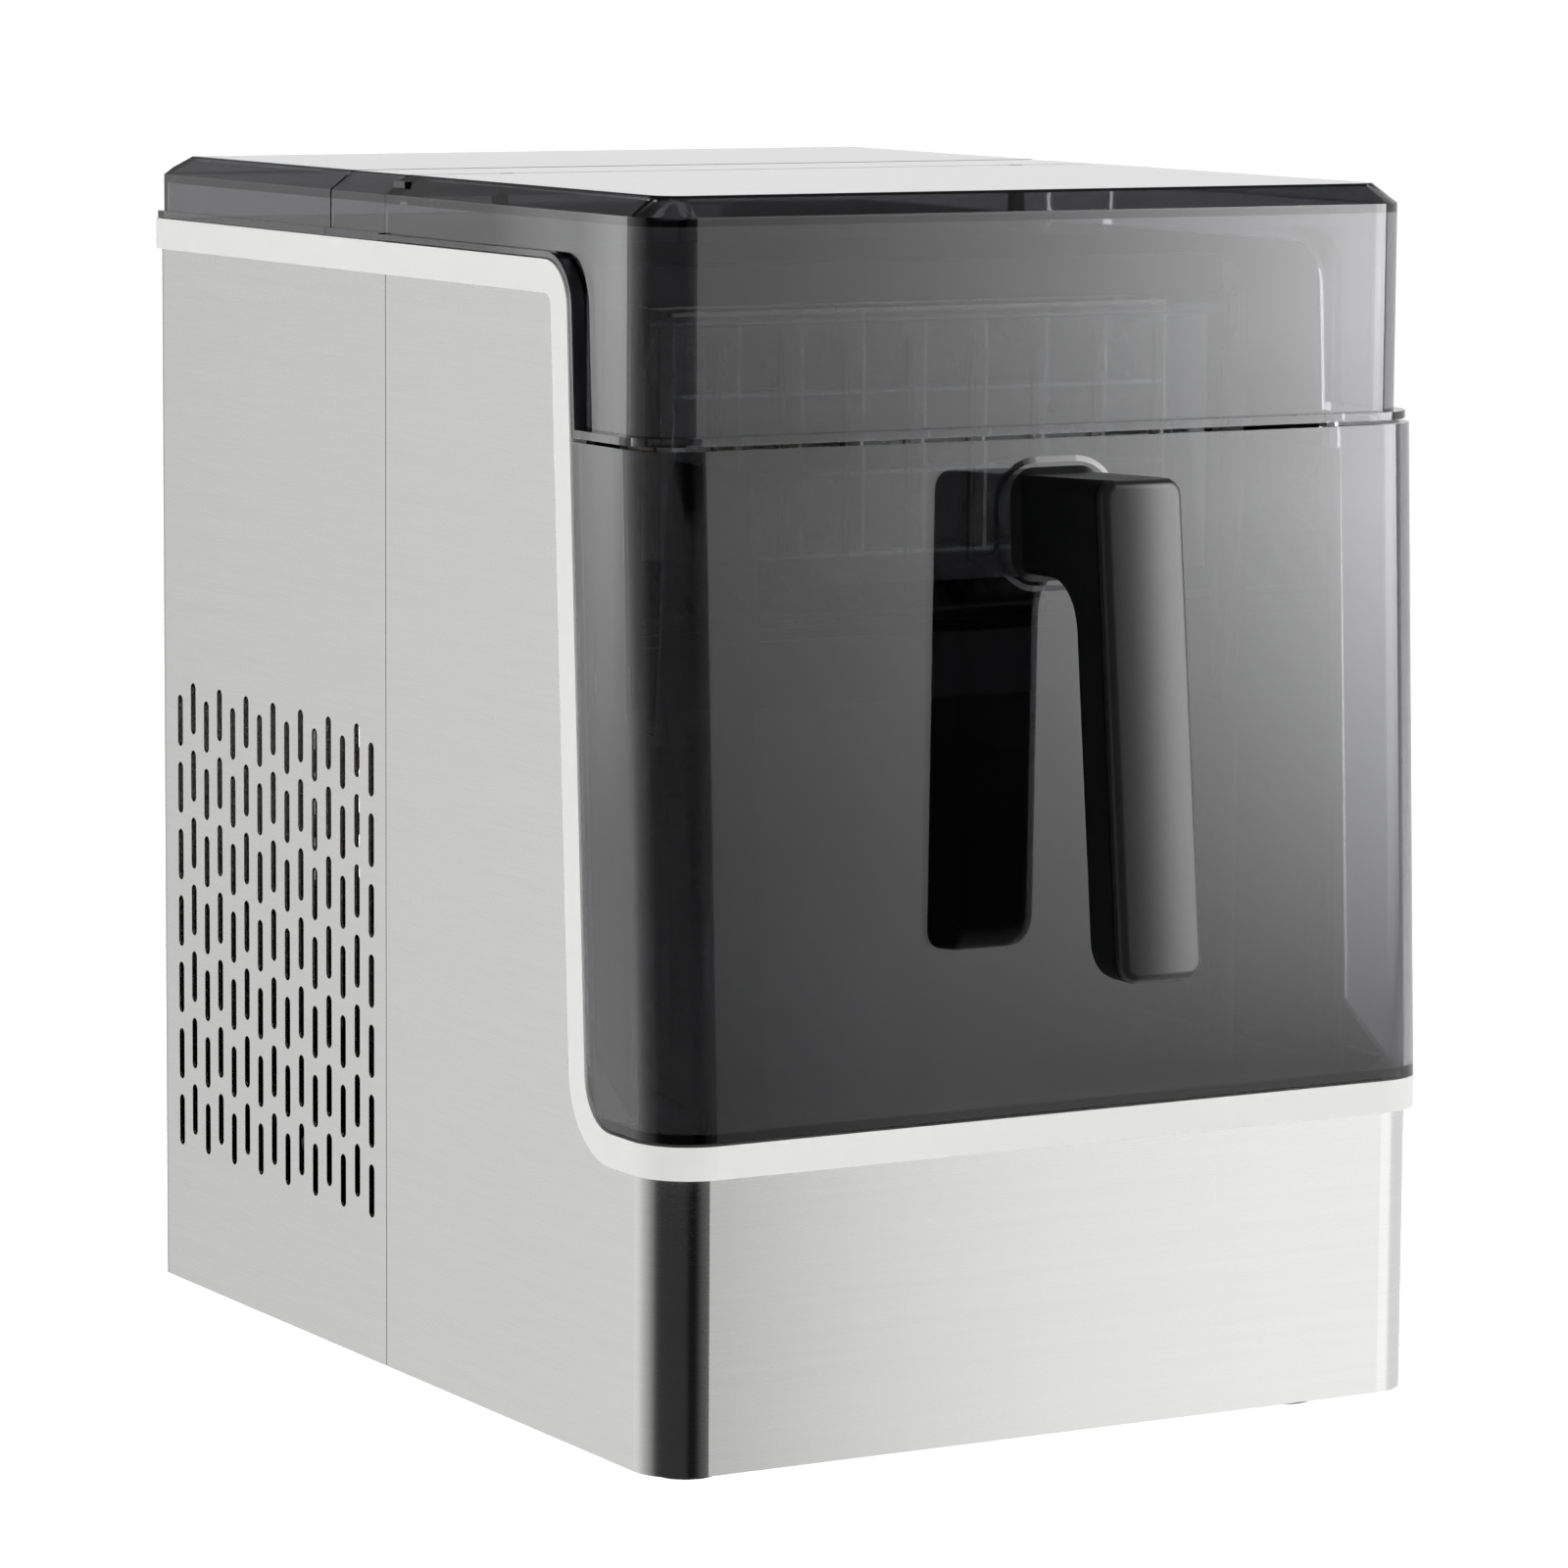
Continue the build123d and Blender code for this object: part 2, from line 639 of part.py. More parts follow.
coil_radius = 4.0
coil_y = grid_back + coil_radius + 0.05
coil_end = 86.0
machine_room = behind_front(185.0)
tube_passes = [tube_levels[0] + 20 * k for k in range(4)]
coil_points = [(tube_x, machine_room, tube_passes[0]), (tube_x, coil_y, tube_passes[0])]
for number, z in enumerate(tube_passes):
    turn_x = -coil_end if number % 2 == 0 else coil_end
    if number < len(tube_passes) - 1:
        coil_points += [(turn_x, coil_y, z), (turn_x, coil_y, z + 20)]
coil_points += [(tube_x, coil_y, tube_passes[-1]), (tube_x, machine_room, tube_passes[-1])]
with BuildPart() as evaporator_tube:
    add(tube(coil_points, coil_radius, 9.9))
save(evaporator_tube, "evaporator_tube")

cheek_in = 112.0
cheek_out = 115.0
shelf_back = behind_front(119)
curtain_y = behind_front(79)
curtain_pivot = 366.0
trough_low = 239.5
with BuildPart() as housing:
    for x in (-cheek_out, cheek_in):
        extrude(
            side_polygon([
                (behind_front(84), trough_low), (shelf_back, trough_low), (shelf_back, 371.5),
                (behind_front(75), 371.5), (behind_front(75), 360), (behind_front(84), 352),
            ], x),
            amount=cheek_out - cheek_in,
        )
    add(block((-137.9, shelf_back, trough_low), (137.9, behind_front(122), 380)))
    with BuildSketch(Plane.YZ):
        with Locations((curtain_y, curtain_pivot)):
            Circle(1.65)
        with Locations((behind_front(101), 249)):
            Circle(5.2)
    extrude(amount=-200, mode=Mode.SUBTRACT)
    with BuildSketch(Plane.YZ):
        with Locations((curtain_y, curtain_pivot)):
            Circle(1.65)
    extrude(amount=200, mode=Mode.SUBTRACT)
    with BuildSketch(Plane.XZ.offset(-shelf_back)):
        with Locations(*[(tube_x, z) for z in tube_levels]):
            Circle(6.5)
    extrude(amount=9, both=True, mode=Mode.SUBTRACT)
save(housing, "evaporator_housing")

with BuildPart() as distributor:
    add(block((-118, behind_front(90), 371.6), (118, behind_front(106), 383.4)))
    add(block((-116, behind_front(92), 373.6), (116, behind_front(104), 381.4)), mode=Mode.SUBTRACT)
    with BuildSketch(Plane.XY.offset(371)):
        with Locations((0, behind_front(94.5))):
            with GridLocations(cell_x, 1, cell_columns, 1):
                Circle(1.2)
    extrude(amount=2.7, mode=Mode.SUBTRACT)
save(distributor, "water_distributor")

with BuildPart() as curtain:
    add(block((-105, curtain_y - 0.75, 279), (105, curtain_y + 0.75, 368)))
    for x in range(-84, 85, 24):
        add(block((x - 0.8, curtain_y - 3, 285), (x + 0.8, curtain_y, 360)))
    with BuildSketch(Plane.YZ):
        with Locations((curtain_y, curtain_pivot)):
            Circle(1.6)
    extrude(amount=114.5, both=True)
save(curtain, "water_curtain")

with BuildPart() as slide:
    for x in range(-96, 97, 16):
        extrude(
            side_polygon([
                (behind_front(108), 284), (behind_front(108), 279.5),
                (behind_front(85), 266), (behind_front(85), 270.5),
            ], x - 1.25),
            amount=2.5,
        )
    for y, z in ((behind_front(107), 281.4), (behind_front(86), 268.9)):
        with BuildSketch(Plane.YZ):
            with Locations((y, z)):
                Circle(1.6)
        extrude(amount=cheek_in, both=True)
save(slide, "ice_slide")

with BuildPart() as trough:
    add(block((-111.8, behind_front(84.5), trough_low), (111.8, behind_front(118.8), 261)))
    hollow = block((-109.8, behind_front(86.5), trough_low + 2), (109.8, behind_front(116.8), 270))
    add(hollow, mode=Mode.SUBTRACT)
save(trough, "water_trough")

with BuildPart() as return_tube:
    add(tube(
        [(-111.9, return_at[1], 249), (*return_at, 249), (*return_at, 96)], 4.5, 9,
    ))
save(return_tube, "return_tube")

with BuildPart() as reservoir:
    add(block((-138, behind_front(10), pan_top + 0.2), (138, behind_front(150), 102)))
    basin = block((-135.5, behind_front(12.5), pan_top + 2.7), (135.5, behind_front(147.5), 110))
    add(basin, mode=Mode.SUBTRACT)
    with BuildSketch(Plane.XZ.offset(-behind_front(150))):
        with Locations(drain_at):
            Circle(5.0)
    extrude(amount=4, both=True, mode=Mode.SUBTRACT)
save(reservoir, "water_reservoir")

pump_at = (116.0, hose_at[1])
with BuildPart() as pump:
    with BuildSketch(Plane.XY.offset(pan_top + 2.8)):
        with Locations(pump_at):
            Circle(17.5)
    extrude(amount=30)
    fillet(pump.edges().group_by(Axis.Z)[-1], 4)
    with BuildSketch(Plane.XY.offset(pan_top + 25)):
        with Locations(hose_at):
            Circle(4)
        with Locations(pump_at):
            Circle(12)
    extrude(amount=26)
save(pump, "circulation_pump")

with BuildPart() as pump_hose:
    add(tube([(*hose_at, 62.1), (*hose_at, 377.5), (118.1, hose_at[1], 377.5)], 4.5, 9))
save(pump_hose, "pump_hose")

float_at = (-100.0, behind_front(60))
with BuildPart() as float_guide:
    with BuildSketch(Plane.XY.offset(pan_top + 2.8)):
        with Locations(float_at):
            Circle(3)
    extrude(amount=78)
    with BuildSketch(Plane.XY.offset(84)):
        with Locations(float_at):
            Circle(6)
    extrude(amount=5)
    with BuildSketch(Plane.XY.offset(pan_top + 2.8)):
        with Locations(float_at):
            Circle(10)
    extrude(amount=2)
save(float_guide, "float_guide")

with BuildPart() as level_float:
    with BuildSketch(Plane.XY.offset(pan_top + 5.2)):
        with Locations(float_at):
            Circle(12)
    extrude(amount=16)
    fillet(level_float.edges().filter_by(GeomType.CIRCLE), 3)
    with BuildSketch(Plane.XY.offset(pan_top)):
        with Locations(float_at):
            Circle(3.1)
    extrude(amount=30, mode=Mode.SUBTRACT)
save(level_float, "water_level_float")

# ---------------------------------------------------------------- refrigeration
comp_at = (-50.0, behind_front(282.5))
comp_radius = 52.0
comp_low = 24.0
comp_high = 150.0
mount_centres = [(comp_at[0] + dx, comp_at[1] + dy) for dx in (-44, 44) for dy in (-44, 44)]
with BuildPart() as compressor:
    with BuildSketch(Plane.XY.offset(comp_low)):
        with Locations(comp_at):
            Circle(comp_radius)
    extrude(amount=comp_high - comp_low)
    fillet(compressor.edges().filter_by(GeomType.CIRCLE), 22)
    with BuildSketch(Plane.XY.offset(84)):
        with Locations(comp_at):
            Circle(comp_radius + 2.5)
    extrude(amount=5)
    with BuildSketch(Plane.XY.offset(21)):
        with Locations(comp_at):
            RectangleRounded(108, 108, 10)
        with Locations(*mount_centres):
            Circle(4, mode=Mode.SUBTRACT)
    extrude(amount=3.2)
save(compressor, "compressor")

with BuildPart() as comp_mounts:
    with BuildSketch(Plane.XY.offset(pan_top)):
        with Locations(*mount_centres):
            Circle(8)
    extrude(amount=10)
    with BuildSketch(Plane.XY.offset(pan_top)):
        with Locations(*mount_centres):
            Circle(4)
    extrude(amount=17)
save(comp_mounts, "compressor_mounts")

fin_low = 40.0
fin_high = 215.0
cond_front = behind_front(216)
cond_back = behind_front(354)
fin_pitch = 6.0
fin_count = int((cond_back - cond_front) / fin_pitch) + 1
cond_x = 128.0
cond_pass = 22.0
cond_levels = [50 + cond_pass * k for k in range(8)]
with BuildPart() as fins:
    with BuildSketch(Plane.XZ.offset(-cond_front)):
        with Locations((cond_x, (fin_low + fin_high) / 2)):
            Rectangle(20, fin_high - fin_low)
        with Locations(*[(cond_x, z) for z in cond_levels]):
            Circle(4.01, mode=Mode.SUBTRACT)
    for number in range(fin_count):
        moved = fins.pending_faces[0].moved(Location((0, number * fin_pitch, 0)))
        extrude(moved, amount=0.6 if 0 < number < fin_count - 1 else 1.2)
    fins.pending_faces.clear()
save(fins, "condenser_fins")

coil_front = behind_front(210)
coil_back = behind_front(366)
coil = [(cond_x, coil_front, cond_levels[0])]
for number, z in enumerate(cond_levels[:-1]):
    turn_y = coil_back if number % 2 == 0 else behind_front(204)
    coil += [(cond_x, turn_y, z), (cond_x, turn_y, z + cond_pass)]
coil += [(cond_x, coil_front, cond_levels[-1])]
with BuildPart() as condenser_coil:
    add(tube(coil, 4.0, 10.8))
save(condenser_coil, "condenser_coil")

fan_at = ((cond_front + cond_back) / 2, (fin_low + fin_high) / 2)
with BuildPart() as shroud:
    with BuildSketch(Plane.YZ.offset(112.5)):
        with Locations(fan_at):
            RectangleRounded(cond_back - cond_front + 4, fin_high - fin_low, 4)
            Circle(62, mode=Mode.SUBTRACT)
    extrude(amount=4.5)
    with BuildSketch(Plane.YZ.offset(96)):
        with Locations(fan_at):
            Circle(64.5)
            Circle(62, mode=Mode.SUBTRACT)
    extrude(amount=17)
    for angle in (90, 210, 330):
        with BuildSketch(Plane.YZ.offset(92)):
            with Locations(fan_at):
                with PolarLocations(41, 1, angle):
                    Rectangle(47, 6)
        extrude(amount=4)
    with BuildSketch(Plane.YZ.offset(92)):
        with Locations(fan_at):
            Circle(23)
            Circle(3.2, mode=Mode.SUBTRACT)
    extrude(amount=2.5)
save(shroud, "fan_shroud")

with BuildPart() as fan_motor:
    with BuildSketch(Plane.YZ.offset(62)):
        with Locations(fan_at):
            Circle(20)
    extrude(amount=30)
    fillet(fan_motor.edges().group_by(Axis.X)[0], 4)
    with BuildSketch(Plane.YZ.offset(92)):
        with Locations(fan_at):
            Circle(2)
    extrude(amount=18)
save(fan_motor, "fan_motor")

blade_count = 5
with BuildPart() as fan:
    with BuildSketch(Plane.YZ.offset(98)):
        with Locations(fan_at):
            Circle(16)
    extrude(amount=11)
    fillet(fan.edges().group_by(Axis.X)[-1], 3)
    for number in range(blade_count):
        blade = Pos(103.5, *fan_at) * Rot(number * 360 / blade_count, 0, 0) * Pos(0, 35, 0) * Rot(0, 28, 0)
        sweep_room = Pos(103.5, *fan_at) * Rot(0, 90, 0) * Cylinder(58, 10.4, mode=Mode.PRIVATE)
        add(blade * Box(1.6, 44, 26, mode=Mode.PRIVATE) & sweep_room)
    with BuildSketch(Plane.YZ.offset(90)):
        with Locations(fan_at):
            Circle(2.05)
    extrude(amount=30, mode=Mode.SUBTRACT)
save(fan, "fan_blade")

dryer_at = (70.0, behind_front(200))
with BuildPart() as dryer:
    with BuildSketch(Plane.XY.offset(100)):
        with Locations(dryer_at):
            Circle(9)
    extrude(amount=90)
    fillet(dryer.edges().filter_by(GeomType.CIRCLE), 5)
save(dryer, "filter_dryer")

with BuildPart() as liquid_line:
    add(tube(
        [
            (*dryer_at, 99.9), (*dryer_at, 50), (cond_x, dryer_at[1], 50), (cond_x, coil_front - 0.1, 50),
        ], 2.5, 8,
    ))
save(liquid_line, "liquid_line")

with BuildPart() as capillary:
    add(tube(
        [
            (*dryer_at, 190.1), (*dryer_at, tube_levels[0]), (tube_x, dryer_at[1], tube_levels[0]),
            (tube_x, machine_room + 0.1, tube_levels[0]),
        ], 1.5, 8,
    ))
save(capillary, "capillary_tube")

suction_y = behind_front(212)
with BuildPart() as suction_line:
    add(tube(
        [
            (tube_x, machine_room + 0.1, tube_levels[1]), (tube_x, suction_y, tube_levels[1]),
            (35, suction_y, tube_levels[1]), (35, suction_y, 110), (35, comp_at[1], 110),
            (comp_at[0] + comp_radius + 0.1, comp_at[1], 110),
        ], 4.0, 14,
    ))
save(suction_line, "suction_line")

valve_at = (comp_at[0] + 25, comp_at[1])
valve_low = 225.0
with BuildPart() as valve:
    with BuildSketch(Plane.XY.offset(valve_low)):
        with Locations(valve_at):
            RectangleRounded(22, 22, 2)
    extrude(amount=20)
    with BuildSketch(Plane.XY.offset(valve_low + 20)):
        with Locations(valve_at):
            Circle(7)
    extrude(amount=36)
    with BuildSketch(Plane.XY.offset(valve_low + 23)):
        with Locations(valve_at):
            RectangleRounded(34, 26, 4)
    extrude(amount=28)
save(valve, "hot_gas_valve")

with BuildPart() as discharge_line:
    with BuildSketch(Plane.XY.offset(comp_high)):
        with Locations(valve_at):
            Circle(3)
    extrude(amount=valve_low - comp_high)
    add(tube(
        [
            (valve_at[0] + 11.1, valve_at[1], 235), (cond_x, valve_at[1], 235),
            (cond_x, behind_front(196), 235), (cond_x, behind_front(196), cond_levels[-1]),
            (cond_x, coil_front - 0.1, cond_levels[-1]),
        ], 3.0, 10,
    ))
save(discharge_line, "discharge_line")

# ---------------------------------------------------------------- electrics, drain and fasteners
tray_low = 350.0
tray_x = (-122.0, -10.0)
tray_y = (behind_front(190), behind_front(330))
with BuildPart() as tray:
    add(block((tray_x[0], tray_y[0], tray_low), (tray_x[1], tray_y[1], 384)))
    inside = block((tray_x[0] + 2, tray_y[0] + 2, tray_low + 2), (tray_x[1] - 2, tray_y[1] - 2, 390))
    add(inside, mode=Mode.SUBTRACT)
    with BuildSketch(Plane.XY.offset(tray_low + 2)):
        with Locations(((tray_x[0] + tray_x[1]) / 2, (tray_y[0] + tray_y[1]) / 2)):
            with GridLocations(92, 120, 2, 2):
                Circle(3)
    extrude(amount=6)
save(tray, "electronics_tray")

board_z = tray_low + 8
with BuildPart() as board:
    add(block((tray_x[0] + 5, tray_y[0] + 5, board_z), (tray_x[1] - 5, tray_y[1] - 5, board_z + 1.6)))
    for dx, dy, wide, deep, high in (
        (22, 30, 19, 16, 15), (45, 30, 19, 16, 15), (68, 30, 19, 16, 15), (30, 62, 34, 26, 20),
        (74, 66, 12, 12, 9), (40, 96, 26, 8, 10), (78, 100, 20, 20, 3),
    ):
        low_corner = (tray_x[0] + dx - wide / 2, tray_y[0] + dy - deep / 2, board_z + 1.6)
        add(block(low_corner, (low_corner[0] + wide, low_corner[1] + deep, board_z + 1.6 + high)))
save(board, "control_board")

with BuildPart() as gland:
    with BuildSketch(Plane.XZ.offset(-back_y)):
        with Locations(gland_at):
            Circle(11)
    extrude(amount=-3)
    with BuildSketch(Plane.XZ.offset(-back_y - 3)):
        with Locations(gland_at):
            Circle(8)
    extrude(amount=-8, taper=6)
    with BuildSketch(Plane.XZ.offset(-back_y)):
        with Locations(gland_at):
            Circle(8.4)
    extrude(amount=14)
    with BuildSketch(Plane.XZ.offset(-back_y - 20)):
        with Locations(gland_at):
            Circle(3.7)
    extrude(amount=50, mode=Mode.SUBTRACT)
save(gland, "cord_gland")

with BuildPart() as drain_spout:
    with BuildSketch(Plane.XZ.offset(-back_y)):
        with Locations(drain_at):
            Circle(11)
    extrude(amount=-2.2)
    with BuildSketch(Plane.XZ.offset(-back_y + 12)):
        with Locations(drain_at):
            Circle(6)
            Circle(4, mode=Mode.SUBTRACT)
    extrude(amount=-20.5)
    with BuildSketch(Plane.XZ.offset(-back_y)):
        with Locations(drain_at):
            Circle(4)
    extrude(amount=-5, mode=Mode.SUBTRACT)
save(drain_spout, "drain_spout")

with BuildPart() as drain_cap:
    with BuildSketch(Plane.XZ.offset(-back_y - 2.6)):
        with Locations(drain_at):
            Circle(8.6)
    extrude(amount=-(rear_reach - 2.6))
    fillet(drain_cap.edges().group_by(Axis.Y)[-1], 1.5)
    with BuildSketch(Plane.XZ.offset(-back_y - 2.6)):
        with Locations(drain_at):
            Circle(6.08)
    extrude(amount=-6.6, mode=Mode.SUBTRACT)
save(drain_cap, "drain_cap")

with BuildPart() as drain_hose:
    with BuildSketch(Plane.XZ.offset(-behind_front(148.5))):
        with Locations(drain_at):
            Circle(5.0)
            Circle(3.5, mode=Mode.SUBTRACT)
    extrude(amount=-(body_depth - 12.1 - 148.5))
save(drain_hose, "drain_hose")

back_screw_x = lip_reach - 7
screw_spots = [(x, z) for x in (-back_screw_x, back_screw_x) for z in (22, 187, 352)] + [(0, 22), (0, 352)]
with BuildPart() as screws:
    with BuildSketch(Plane.XZ.offset(-back_y)):
        with Locations(*screw_spots):
            Circle(3.6)
    extrude(amount=-2.0)
    chamfer(screws.edges().group_by(Axis.Y)[-1], 0.7)
    with BuildSketch(Plane.XZ.offset(-back_y - 2.0)):
        with Locations(*screw_spots):
            Rectangle(4.2, 0.9)
            Rectangle(0.9, 4.2)
    extrude(amount=1.2, mode=Mode.SUBTRACT)
save(screws, "panel_screws")
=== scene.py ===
# %% [markdown]
# # A countertop ice maker
# The machine is a brushed steel cabinet with a smoked lid, a smoked pull-out bin and a hook handle.
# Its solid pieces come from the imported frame, each one already in its place, in metres, with +Z up
# and the front towards -Y. This lesson gives each piece its finish, and then sets up a small studio
# round the machine.

# %% The frame
import math

import bpy
import numpy as np
from mathutils import Matrix, Vector


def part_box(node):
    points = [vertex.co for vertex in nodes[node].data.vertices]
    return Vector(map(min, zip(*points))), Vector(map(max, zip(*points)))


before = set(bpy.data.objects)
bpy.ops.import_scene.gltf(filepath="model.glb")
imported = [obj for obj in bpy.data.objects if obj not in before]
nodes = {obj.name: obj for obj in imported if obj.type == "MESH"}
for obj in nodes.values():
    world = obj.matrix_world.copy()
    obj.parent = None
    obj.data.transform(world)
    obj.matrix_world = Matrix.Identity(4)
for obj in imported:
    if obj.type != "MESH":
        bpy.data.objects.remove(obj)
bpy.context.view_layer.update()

mm = 0.001
print("pieces from the frame:", len(nodes))

# %% [markdown]
# ## Colours and nodes
# A hex colour is written in sRGB, which is how a screen shows it, but a shader works in linear light.
# One function turns the first into the second. Another adds a shader node with its settings and its
# links in one call, so that each material below reads as a short list of steps.

# %% Helpers for colours and nodes
def linear(hex_code):
    """Each channel c becomes c / 12.92 below 0.04045, and ((c + 0.055) / 1.055) ** 2.4 above it."""
    channels = [int(hex_code[i:i + 2], 16) / 255 for i in (1, 3, 5)]
    opaque = 1.0
    return [c / 12.92 if c <= 0.04045 else ((c + 0.055) / 1.055) ** 2.4 for c in channels] + [opaque]


def add(tree, kind, links=None, inputs=None, **settings):
    """Adds a node, sets its properties and socket values, and links other nodes' sockets into it."""
    node = tree.nodes.new("ShaderNode" + kind)
    for name, value in settings.items():
        setattr(node, name, value)
    for name, value in (inputs or {}).items():
        node.inputs[name].default_value = value
    for name, socket in (links or {}).items():
        tree.links.new(socket, node.inputs[name])
    return node


def new_material(name, **inputs):
    """A material with one Principled shader, whose named sockets get the given values."""
    material = bpy.data.materials.new(name)
    material.use_nodes = True
    shader = material.node_tree.nodes["Principled BSDF"]
    for socket, value in inputs.items():
        shader.inputs[socket.replace("_", " ")].default_value = value
    return material, material.node_tree, shader


def grain(tree, scale, detail=2.0, stretch=(1, 1, 1), turn=(0, 0, 0)):
    """Noise on Object coordinates. scale is in features per metre, and stretch squeezes each axis."""
    place = add(tree, "TexCoord")
    mapped = add(tree, "Mapping", {"Vector": place.outputs["Object"]}, {"Scale": stretch, "Rotation": turn})
    return add(tree, "TexNoise", {"Vector": mapped.outputs["Vector"]}, {"Scale": scale, "Detail": detail})


def ramp(tree, value, low, high, low_out, high_out):
    """Maps value from low..high to low_out..high_out, held flat outside that range."""
    return add(tree, "MapRange", {"Value": value},
               {"From Min": low, "From Max": high, "To Min": low_out, "To Max": high_out})


def spread(tree, noise, low_out, high_out):
    """Noise seldom leaves 0.3 to 0.7, so this maps that part of its range to low_out..high_out."""
    return ramp(tree, noise, 0.3, 0.7, low_out, high_out)


def mixed(tree, factor, first, second):
    """A colour that goes from hex colour first to second as factor goes from 0 to 1."""
    mixer = add(tree, "Mix", {0: factor}, {6: linear(first), 7: linear(second)}, data_type="RGBA")
    return mixer.outputs[2]


def bumped(tree, shader, height, distance, strength=1.0):
    """Tilts the shader's normal by a height pattern whose full range is distance metres deep."""
    bump = add(tree, "Bump", {"Height": height}, {"Distance": distance, "Strength": strength})
    tree.links.new(bump.outputs["Normal"], shader.inputs["Normal"])

# %% [markdown]
# ## Brushed stainless steel
# The cabinet's sheets are ferritic stainless steel, ground with an abrasive belt that ran level
# round the wrap. The belt leaves scratches all in one direction, so a reflection stays sharp along
# them and is drawn out across them, from top to bottom. Anisotropy gives that drawn-out gloss, and
# noise squeezed along Z draws the scratches. Real ones are near 0.05 mm apart, too fine to show, so
# they are drawn 0.35 mm apart, with a wider, weaker set for the faint streaks of the belt.

# %% Brushed stainless steel
def brushed_steel(name, light, dark, rough, scratch_mm, streak_mm):
    quarter_turn = 0.25
    material, tree, shader = new_material(name, Metallic=1.0, Roughness=rough, Anisotropic=0.7,
                                          Anisotropic_Rotation=quarter_turn)
    level = add(tree, "Tangent", direction_type="RADIAL", axis="Z")
    tree.links.new(level.outputs[0], shader.inputs["Tangent"])
    scratch = grain(tree, 1 / mm, 3.0, (0.06, 0.06, 1 / scratch_mm))
    streak = grain(tree, 1 / mm, 2.0, (0.01, 0.01, 1 / streak_mm))
    faint = spread(tree, streak.outputs["Fac"], -0.08, 0.08)
    both = add(tree, "Math", {0: scratch.outputs["Fac"], 1: faint.outputs[0]}, operation="ADD")
    shade = spread(tree, both.outputs[0], 0.0, 1.0)
    tree.links.new(mixed(tree, shade.outputs[0], dark, light), shader.inputs["Base Color"])
    tree.links.new(spread(tree, scratch.outputs["Fac"], rough - 0.01, rough + 0.02).outputs[0],
                   shader.inputs["Roughness"])
    scratch_depth = 0.0002 * mm
    bumped(tree, shader, scratch.outputs["Fac"], scratch_depth)
    return material


steel = brushed_steel("Brushed stainless steel, belt ground", "#d5d5d4", "#d0d0cf", 0.26, 0.35, 3.0)

# %% [markdown]
# ## Smoked plastic
# The lid and the bin are moulded in smoke-tinted SAN, a clear styrene plastic of index 1.57. Its
# surface is polished by the mould, so it mirrors lights sharply while its body swallows most of the
# light that passes. Cycles finds a lamp behind glass only by chance, so for the rays that look for
# a lamp a plain tinted film stands in, which lights the inside without noise. The curtain and the
# water tank inside are clear polycarbonate, made by the same function.

# %% Smoked plastic
def clear_plastic(name, tint, film, rough, ior):
    material, tree, shader = new_material(name, Roughness=rough, IOR=ior, Base_Color=linear(tint),
                                          Transmission_Weight=1.0)
    pass_through = add(tree, "BsdfTransparent", inputs={"Color": linear(film)})
    path = add(tree, "LightPath")
    chosen = add(tree, "MixShader", {"Fac": path.outputs["Is Shadow Ray"], 1: shader.outputs[0],
                                     2: pass_through.outputs[0]})
    tree.links.new(chosen.outputs[0], tree.nodes["Material Output"].inputs["Surface"])
    return material


smoke = clear_plastic("Smoke-tinted SAN, polished mould", "#7e7e82", "#6c6c70", 0.025, 1.57)
clear = clear_plastic("Clear polycarbonate, injection moulded", "#dfe6e8", "#eef2f4", 0.06, 1.58)

# %% [markdown]
# ## Moulded plastics and rubbers
# ABS is moulded in a spark-eroded tool, whose fine pits it copies, so its gloss is broken by a grain
# of about 0.5 mm. One function makes all the opaque mouldings: a base colour that drifts a little
# over the part, a gloss, and a grain of a given size and depth.

# %% Moulded plastics and rubbers
def moulded(name, colour, other, rough, grain_mm, deep_mm, ior=1.53, **more):
    material, tree, shader = new_material(name, Roughness=rough, IOR=ior, **more)
    pits = grain(tree, 1 / (grain_mm * mm), 2.0)
    drifts_per_metre = 12.0
    drift = grain(tree, drifts_per_metre, 2.0)
    tree.links.new(mixed(tree, drift.outputs["Fac"], colour, other), shader.inputs["Base Color"])
    tree.links.new(spread(tree, pits.outputs["Fac"], rough - 0.04, rough + 0.05).outputs[0],
                   shader.inputs["Roughness"])
    bumped(tree, shader, pits.outputs["Fac"], deep_mm * mm)
    return material


white_abs = moulded("White ABS, satin moulded", "#f1f1ef", "#ecece9", 0.32, 0.5, 0.004)
black_abs = moulded("Black ABS, spark-textured", "#0b0b0b", "#101010", 0.36, 0.45, 0.015)
# The pieces inside are black, a painted shade that darkens the unlit inside of the closed machine.
inside_painted_shade = moulded("Black ABS, satin moulded, painted shade of the unlit inside", "#0d0d0e", "#121213", 0.35, 0.5, 0.004)
grip_skin = moulded("Soft-touch polyurethane lacquer over ABS", "#161616", "#1c1c1c", 0.37, 0.5, 0.012)
rubber = moulded("Black EPDM rubber, moulded", "#161616", "#1e1d1c", 0.7, 0.7, 0.03)
natural_pp = moulded("Natural polypropylene, moulded", "#dcdcd6", "#d2d2cc", 0.45, 0.8, 0.01)
silicone = moulded("Silicone rubber, extruded", "#e2e2dc", "#d6d6d0", 0.4, 0.9, 0.01, 1.41,
                   Subsurface_Weight=0.4, Subsurface_Scale=0.003)
coil_cast = moulded("Epoxy-potted coil", "#1d1d22", "#26262c", 0.45, 1.2, 0.03)
foam = moulded("Expanded polystyrene, steam moulded", "#f2f2ee", "#e6e6e0", 0.75, 3.0, 0.25)

# %% [markdown]
# ## Pale inlays
# The plates in the top are PMMA sheet, printed on the back. The lid's print holds a fine silver
# speckle, and the touch panel's is nearly plain and a shade darker. Both are seen through a clear
# glossy layer, which a coat over a rougher base gives.

